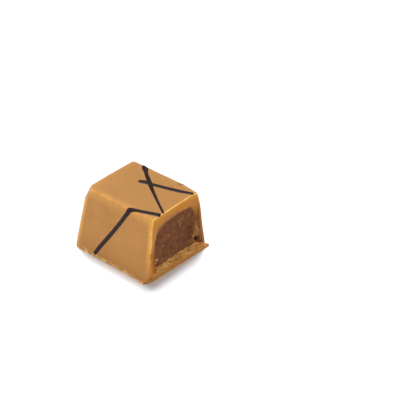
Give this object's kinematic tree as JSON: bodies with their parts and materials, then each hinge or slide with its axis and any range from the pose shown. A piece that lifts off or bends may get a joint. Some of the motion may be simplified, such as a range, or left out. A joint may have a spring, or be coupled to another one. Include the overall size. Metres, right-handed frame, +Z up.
{
  "type": "cut chocolate praline",
  "caption": "Half of a tapered moulded praline: blond chocolate shell with dark piped lines, its cut face showing a grainy nut filling over a rough base.",
  "frame": {"origin": "on the floor under the middle of the bounding box", "axes": "+Z up, +X from the moulded far end towards the cut face, +Y towards the side with the lip"},
  "size_m": [0.022, 0.02, 0.0151],
  "materials": {
    "blond_chocolate": "satin blond chocolate, faintly mottled",
    "dark_chocolate": "satin dark chocolate of the piped lines",
    "nut_filling": "dull grainy nut paste with light and reddish flecks",
    "base_chocolate": "dull blond chocolate, granular where it broke"
  },
  "bodies": {
    "root": {"shell": "blond_chocolate", "filling": "nut_filling", "base": "base_chocolate"}
  },
  "joints": []
}
